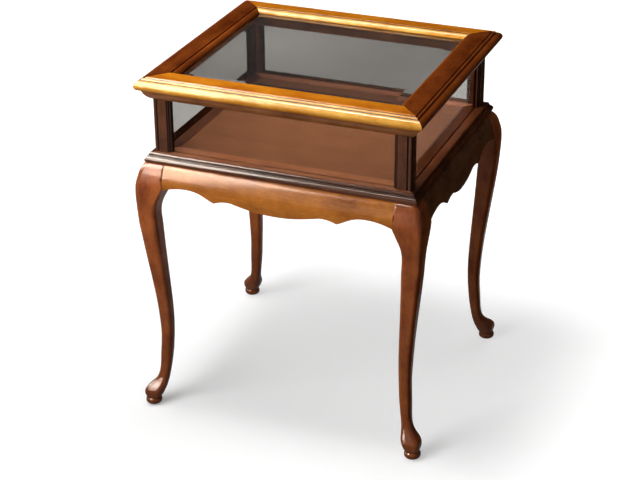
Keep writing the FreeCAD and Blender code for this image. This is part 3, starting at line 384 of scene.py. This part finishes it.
# Corners and arcs of the section, in mm: in from the edge of the lid and up from the top of the rail.
BASE_SECTION = [
    (64.9, -18.5), (64.9, -9.8), (55.4, -9.8), (55.4, 0.0), (35.2, 0.0), (35.2, -5.0), (30.8, -5.0),
    (30.8, 0.0), (18.6, 0.0), ((16.5, -0.92), (15.4, -3.4)), (15.4, -5.2), (13.0, -5.8), (13.0, -7.2),
    ((9.0, -13.0), (12.3, -18.5))]
base_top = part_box("base_rail_front")[1].z * 1000.0


def ledge(inset, height):
    """The flat ledge and the foot of the half round are paler than the mouldings between them."""
    return max(fade(inset, 18.0, 19.2), fade(height, -15.6, -16.8))


for number, side in enumerate(SIDES):
    rail = mitred_rail("base_moulding_" + side, side, BASE_SECTION, base_top, ledge)
    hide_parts("base_rail_" + side)
    if side in ("front", "back"):
        ledge_shades = (colour("86523a"), colour("a0684a"))
    # The side ledges take darker colours than the front and back: painted shade.
    else:
        ledge_shades = (colour("34190c"), colour("4a2816"))
    dress(rail, polished_wood("base " + side, GRAIN[side], colour("26120a"), colour("3e1e0e"),
                              colour("62361e"), board=number, other=ledge_shades, coat=0.35, haze=0.1))
dress(nodes["base_mitre_keys"], block_wood)


# ---------------------------------------------------------------- display floor
# A veneered panel that lies in the rebate of the base rails. The veneer's grain runs from side to side.

dress(nodes["display_floor"], polished_wood("floor veneer", "x", colour("5f3c2c"), colour("6e4734"),
                                            colour("7d533b"), board=5, coat=0.02, figure=0.6))


# ---------------------------------------------------------------- corner posts
# Four angle-shaped posts stand on the base rails: a bead down the outer corner, plain faces and two steps
# beside the glass, with a groove for it. Dowels hold them at both ends.

POST_INSET = 23.4                  # mm, of the post's outer faces
POST_SIZE = 30.6                   # along each face
POST_THICKNESS = 14.0
BEAD = 3.0                         # radius
QUIRK = (2 * BEAD + 2.4, 2.0)      # its far edge along the face, and its depth
STEPS = (POST_SIZE - 6.8, POST_SIZE - 3.4)
STEP_DEPTH = 2.0
STEP_SHADE = -0.65                 # painted shade on the steps: how dark they are, where -1 is a deep quirk
PANE_GROOVE = (7.4, 11.8, POST_SIZE - 5.0)    # from the post's face, and its bottom along the post

bulge = BEAD * (1 - math.sqrt(0.5))
face = [((2 * BEAD - bulge, bulge), (2 * BEAD, QUIRK[1])), (QUIRK[0], QUIRK[1]), (QUIRK[0], 0.0),
        (STEPS[0], 0.0), (STEPS[0], STEP_DEPTH), (STEPS[1], STEP_DEPTH), (STEPS[1], 2 * STEP_DEPTH),
        (POST_SIZE, 2 * STEP_DEPTH), (POST_SIZE, PANE_GROOVE[0]), (PANE_GROOVE[2], PANE_GROOVE[0]),
        (PANE_GROOVE[2], PANE_GROOVE[1]), (POST_SIZE, PANE_GROOVE[1]), (POST_SIZE, POST_THICKNESS)]
other_face = [(y, x) for x, y in reversed(face[1:])]
POST_PLAN = ([(0.0, BEAD), ((bulge, bulge), (BEAD, 0.0))] + face + [(POST_THICKNESS, POST_THICKNESS)]
             + other_face + [(QUIRK[1], 2 * BEAD), ((bulge, 2 * BEAD - bulge), (0.0, BEAD))])
window_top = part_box("post_front_left")[1].z * 1000.0

for number, (corner, (x_sign, y_sign)) in enumerate(CORNERS.items()):
    plan = outline(POST_PLAN)
    x_face, y_face = HALF_LENGTH - POST_INSET, HALF_DEPTH - POST_INSET
    ends = [lambda x, y, z=z: (x_sign * (x_face - x), y_sign * (y_face - y), z)
            for z in (base_top, window_top)]
    # The steps beside the glass are darkened further: painted shade.
    rub = [min(mark, STEP_SHADE) if max(spot) > STEPS[0] + 0.3 else mark
           for mark, spot in zip(wear_and_shade_of(plan), plan)]
    post = bar("case_post_" + corner, plan, ends, {"rub": rub})
    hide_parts("post_" + corner)
    dress(post, polished_wood("post " + corner, "z", colour("301a10"), colour("502a19"), colour("683c24"),
                              board=number))
dress(nodes["post_dowels"], block_wood)


# ---------------------------------------------------------------- side glass
# Four panes of grey float glass in the grooves of the rails and posts.


def plate_glass(name, tint, lamp_tint, index):
    """Grey float glass. lamp_tint is how much of the lamps' light it lets through."""
    material, start = new_finish(name)
    glass = start.node("BsdfPrincipled", {"Base Color": tint, "Roughness": 0.0, "IOR": index,
                                          "Transmission Weight": 1.0})
    clear = start.node("BsdfTransparent", {"Color": lamp_tint})
    rays = start.node("LightPath", {}, out="Is Shadow Ray")
    start.node("OutputMaterial", {0: start.node("MixShader", {0: rays, 1: glass, 2: clear})})
    return material


side_glass = plate_glass("grey side glass", (0.55, 0.54, 0.52, 1.0), (0.4, 0.4, 0.4, 1.0), 1.05)
for side in SIDES:
    dress(nodes["side_glass_" + side], side_glass)


# ---------------------------------------------------------------- top rails of the case
# A mitred frame that caps the posts: a flat lip over an ovolo, grooved below for the glass, with loose
# keys across the mitres. The back rail is let in for the leaves of the hinges.

TOP_SECTION = [
    (38.4, -19.2), (38.4, 0.0), (9.2, 0.0), (9.2, -2.4), (9.8, -2.4), ((14.6, -11.8), (23.6, -19.2)),
    (30.8, -19.2), (30.8, -14.2), (35.2, -14.2), (35.2, -19.2)]
case_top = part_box("case_top_rail_front")[1].z * 1000.0
HINGES = ("left", "right")
BED_PLAY = 0.2                     # mm, round a hinge leaf
BED_DEPTH = 1.6                    # mm, for a hinge leaf, in the case and in the lid
BACK_EDGE = 9.2                    # mm, inset of the lip of the case at the back
PAST = 1.0                         # mm, how far a cut starts outside the wood


def cut_box(piece, low, high):
    """Cuts a bed or notch with flat faces out of a piece, between two corners in mm."""
    mesh = bpy.data.meshes.new("cutter")
    shape = bmesh.new()
    bmesh.ops.create_cube(shape, size=1.0)
    middle = (Vector(low) + Vector(high)) / 2
    size = Vector(high) - Vector(low)
    for vertex in shape.verts:
        vertex.co = Vector([0.001 * (m + s * c) for m, s, c in zip(middle, size, vertex.co)])
    shape.to_mesh(mesh)
    shape.free()
    cutter = bpy.data.objects.new("cutter", mesh)
    scene.collection.objects.link(cutter)
    modifier = piece.modifiers.new("cut", "BOOLEAN")
    modifier.object = cutter
    cut = bpy.data.meshes.new_from_object(piece.evaluated_get(bpy.context.evaluated_depsgraph_get()))
    piece.modifiers.clear()
    piece.data = cut
    bpy.data.objects.remove(cutter)


def inner_side_shade(inset, height):
    """The side that faces the case is painted darker, a painted shade for the inside of the case."""
    return fade(inset, 30.8, 36.0)


for number, side in enumerate(SIDES):
    rail = mitred_rail("case_cap_" + side, side, TOP_SECTION, case_top, inner_side_shade)
    if side == "back":
        for place in HINGES:
            low, high = (corner * 1000.0 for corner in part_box("hinge_case_leaf_" + place))
            cut_box(rail, (low.x - BED_PLAY, low.y - BED_PLAY, case_top - BED_DEPTH),
                    (high.x + BED_PLAY, HALF_DEPTH - BACK_EDGE + PAST, case_top + PAST))
    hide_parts("case_top_rail_" + side)
    dress(rail, polished_wood("case cap " + side, GRAIN[side], colour("663820"), colour("86502e"),
                              colour("a2683c"), board=number, other=(colour("4a2e1e"), colour("7a5238"))))
dress(nodes["case_top_mitre_keys"], block_wood)


# ---------------------------------------------------------------- hinges and felt dots
# Two brass butt hinges between the back rails of case and lid, with a pin and three screws in each leaf.
# Four felt dots on the case keep the closed lid off the wood.

brass = plain_finish("brass", colour("7c5c26"), colour("a07e40"), 0.0015, 0.62, metal=0.12, bump=0.05)
for name in ("hinge_case_leaf_left", "hinge_case_leaf_right", "hinge_lid_leaf_left", "hinge_lid_leaf_right",
             "hinge_pins", "hinge_case_screws", "hinge_lid_screws"):
    dress(nodes[name], brass)
felt = plain_finish("felt", colour("2a2622"), colour("4a443c"), 0.0004, 0.95, bump=0.6)
dress(nodes["lid_felt_dots"], felt)


# ---------------------------------------------------------------- lid rails
# A mitred picture-frame moulding: a round nose, a small bead, a groove, a flat band and a lip over the
# glass, with loose keys across the mitres. On the long rails the upper nose and the lip are painted pale
# gold, a painted highlight.

# In mm as for the base rails, but up from the underside of the lid.
LID_SECTION = [
    (48.5, 0.0), (3.6, 0.0), ((0.9, 3.4), (0.0, 7.8)), ((3.1, 13.5), (9.6, 16.4)), (10.3, 16.9),
    ((11.3, 18.9), (13.3, 19.5)), (15.3, 18.6), (17.0, 21.0), (46.2, 22.0), (46.2, 20.3), (47.1, 20.3),
    ((52.7, 18.5), (55.0, 12.0)), (48.5, 12.0)]
lid_bottom = lid_front[0].z
PIN_PLAY = 1.9                     # mm, past each end of a leaf
PIN_BED = 3.0                      # mm, depth of the notch for the pin


def painted_highlight_gold(inset, height):
    """The upper nose and the lip over the glass, painted paler than the band between them: a painted
    highlight.
    """
    return max(min(fade(inset, 16.4, 15.4), fade(height, 0.5, 9.0)), fade(inset, 46.8, 47.6))


for number, side in enumerate(SIDES):
    rail = mitred_rail("lid_frame_" + side, side, LID_SECTION, lid_bottom, painted_highlight_gold)
    if side == "back":
        for place in HINGES:
            low, high = (corner * 1000.0 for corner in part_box("hinge_lid_leaf_" + place))
            cut_box(rail, (low.x - BED_PLAY, low.y - BED_PLAY, lid_bottom - PAST),
                    (high.x + BED_PLAY, HALF_DEPTH - BACK_EDGE + BED_PLAY, lid_bottom + BED_DEPTH))
            cut_box(rail, (low.x - PIN_PLAY, HALF_DEPTH - BACK_EDGE, lid_bottom - PAST),
                    (high.x + PIN_PLAY, HALF_DEPTH + PAST, lid_bottom + PIN_BED))
    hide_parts("lid_rail_" + side)
    if side in ("front", "back"):
        shades = (colour("8e4608"), colour("b0600c"), colour("c67a1a"))
        # Pale gold on the upper nose and the lip: a painted highlight.
        nose_and_lip_colours = (colour("b87818"), colour("e8b452"))
    # The side rails take darker copies of the long rails' wood: painted shade.
    else:
        shades = (colour("3a1105"), colour("5c250c"), colour("783a12"))
        nose_and_lip_colours = (colour("60280c"), colour("864214"))
    finish = polished_wood("lid " + side, GRAIN[side], *shades, board=number, other=nose_and_lip_colours, rubbed=0.2)
    dress(rail, finish, body="lid")
dress(nodes["lid_mitre_keys"], block_wood)


# ---------------------------------------------------------------- lid glass
# A thick grey plate with a wide bevel ground on its upper face, held up in the rebate by four strips.

lid_glass = plate_glass("grey lid glass", (0.29, 0.282, 0.27, 1.0), (0.85, 0.85, 0.85, 1.0), 1.18)
dress(nodes["lid_glass"], lid_glass)
dress(nodes["lid_glass_stops"], polished_wood("glass stops", "x", colour("4a2818"), colour("7d4a2e"),
                                              colour("9a6440")))


# ---------------------------------------------------------------- floor, light and camera
# A pale studio floor under soft lamps above and in front. Warm lamps on the left give the highlights only,
# black cards darken the reflections on the right and behind, and a weak fill lights the back.

RAYS = ("Is Camera Ray", "Is Glossy Ray", "Is Transmission Ray")
LIT_SPOT = (-0.357, -0.585, 0.0)   # m, where the lamps light the floor most
LIT_REACH = 1.174                  # m, how fast their light falls off round it
BRIGHT_SPOT = (-0.8, 1.62, 0.0)    # m, middle of the patch behind the table
BRIGHT_REACH = 0.34                # m, its radius
FLOOR_REACH = 15.0                 # m


def studio_floor():
    """A floor that looks white where no shadow falls.

    It glows by itself where less of the lamps' light reaches it, further from the place under them. A
    small patch behind the table is brighter still when it is seen through glass."""
    material, start = new_finish("studio floor")
    kinds = [start.node("LightPath", {}, out=kind) for kind in RAYS]
    seen = sum(kinds, 0.0).clamped()
    place = start.node("TexCoord", {}, out="Object")
    away, behind = (place.node("VectorMath", {0: place, 1: spot}, {"operation": "DISTANCE"}, out="Value")
                    for spot in (LIT_SPOT, BRIGHT_SPOT))
    lamps = ((away * (1 / LIT_REACH)) ** 2.0 + 1.0) ** -1.065
    glow = kinds[2] * (1.0 - behind * (1 / BRIGHT_REACH)).clamped()
    pale = start.node("BsdfDiffuse", {"Color": seen.mixed((0.2, 0.2, 0.2, 1), (0.63, 0.63, 0.63, 1))})
    light = seen * (0.52 - 0.434 * lamps) + glow * 0.32
    white = start.node("Emission", {"Color": light.mixed((0, 0, 0, 1), (1, 1, 1, 1)), "Strength": 2.03})
    start.node("OutputMaterial", {0: start.node("AddShader", {0: pale, 1: white})})
    mesh = bpy.data.meshes.new("studio_floor")
    corners = [(x * FLOOR_REACH, y * FLOOR_REACH, 0) for x, y in ((-1, -1), (1, -1), (1, 1), (-1, 1))]
    mesh.from_pydata(corners, [], [(0, 1, 2, 3)])
    floor = bpy.data.objects.new("studio_floor", mesh)
    scene.collection.objects.link(floor)
    mesh.materials.append(material)


studio_floor()


def black_card():
    """Black cards on the floor to the right and upright behind, in metres, seen only in reflections."""
    material, start = new_finish("black card")
    start.node("OutputMaterial", {0: start.node("BsdfDiffuse", {"Color": (0.01, 0.01, 0.01, 1.0)})})
    mesh = bpy.data.meshes.new("black_card")
    mesh.from_pydata([(0.34, -0.5, 0.002), (2.6, -0.5, 0.002), (2.6, 3.0, 0.002), (0.34, 3.0, 0.002),
                      (-3.2, 3.0, 0.002), (4.0, 3.0, 0.002), (4.0, 3.0, 3.4), (-3.2, 3.0, 3.4)], [],
                     [(0, 1, 2, 3), (4, 5, 6, 7)])
    card = bpy.data.objects.new("black_card", mesh)
    scene.collection.objects.link(card)
    mesh.materials.append(material)
    for rays in ("camera", "diffuse", "transmission", "shadow"):
        setattr(card, "visible_" + rays, False)


black_card()

world = bpy.data.worlds.new("studio")
world.use_nodes = True
world.node_tree.nodes.clear()
surround = Value(world.node_tree)
seen = sum((surround.node("LightPath", {}, out=kind) for kind in RAYS), 0.0).clamped()
backdrop = surround.node("Background", {0: seen.mixed((0.05, 0.05, 0.05, 1), (1, 1, 1, 1))})
surround.node("OutputWorld", {0: backdrop})
scene.world = world

CASE_MIDDLE = Vector((0, 0, 0.5))  # m, where the lamps point


def softbox(name, azimuth, elevation, distance, width, height, radiance):
    """A rectangular lamp that faces the case, placed in degrees and metres.

    Its azimuth is counted from the front, towards the right."""
    lamp = bpy.data.lights.new(name, "AREA")
    lamp.shape = "RECTANGLE"
    lamp.size = width
    lamp.size_y = height
    lamp.energy = radiance * math.pi * width * height
    placed = bpy.data.objects.new(name, lamp)
    a, e = math.radians(azimuth), math.radians(elevation)
    back = Vector((math.sin(a) * math.cos(e), -math.cos(a) * math.cos(e), math.sin(e)))
    placed.location = CASE_MIDDLE + back * distance
    placed.rotation_mode = "QUATERNION"
    placed.rotation_quaternion = back.to_track_quat("Z", "Y")
    scene.collection.objects.link(placed)
    return placed


softbox("overhead softbox", -60, 79, 2.1, 0.6, 0.6, 31.0)
softbox("front softbox", -36, 33, 1.5, 0.8, 0.8, 8.0)
softbox("low softbox", -22, 10, 1.8, 1.0, 0.8, 4.0)
for shine in (softbox("shine on the left", -70, 60, 2.1, 0.9, 1.4, 90.0),
              softbox("shine in front", -46, 38, 2.2, 0.7, 1.1, 110.0),
              softbox("shine from above", -94, 76, 2.0, 0.8, 0.5, 40.0),
              softbox("shine on the knees", -92, 24, 1.8, 0.6, 1.0, 110.0),
              softbox("shine on the apron", -28.5, 25, 2.0, 0.26, 1.6, 80.0)):
    shine.data.color = (1.0, 0.93, 0.82)
    shine.visible_diffuse = False
    shine.visible_transmission = False

fill = softbox("fill behind", 160, 4, 2.2, 1.6, 1.2, 2.2)
fill.data.use_shadow = False
fill.visible_glossy = False

CAMERA_AZIMUTH = math.radians(21.741)
CAMERA_ELEVATION = math.radians(26.690)
CAMERA_ROLL = math.radians(-0.322)
CAMERA_DISTANCE = 3.08833          # m
CAMERA_TARGET = Vector((-0.00807, -0.00533, 0.27328))
CAMERA_LENS = 95.32                # mm
CAMERA_SENSOR = 36.0               # mm, its width

back = Vector((math.sin(CAMERA_AZIMUTH) * math.cos(CAMERA_ELEVATION),
               -math.cos(CAMERA_AZIMUTH) * math.cos(CAMERA_ELEVATION), math.sin(CAMERA_ELEVATION)))
right = (-back).cross(Vector((0, 0, 1))).normalized()
up = right.cross(-back)
turned_right = right * math.cos(CAMERA_ROLL) + up * math.sin(CAMERA_ROLL)
turned_up = up * math.cos(CAMERA_ROLL) - right * math.sin(CAMERA_ROLL)
lens = bpy.data.cameras.new("camera")
lens.lens = CAMERA_LENS
lens.sensor_width = CAMERA_SENSOR
camera = bpy.data.objects.new("camera", lens)
camera.matrix_world = Matrix.Translation(CAMERA_TARGET + back * CAMERA_DISTANCE) @ Matrix(
    (turned_right, turned_up, back)).transposed().to_4x4()
scene.collection.objects.link(camera)
scene.camera = camera
scene.view_settings.view_transform = "Standard"
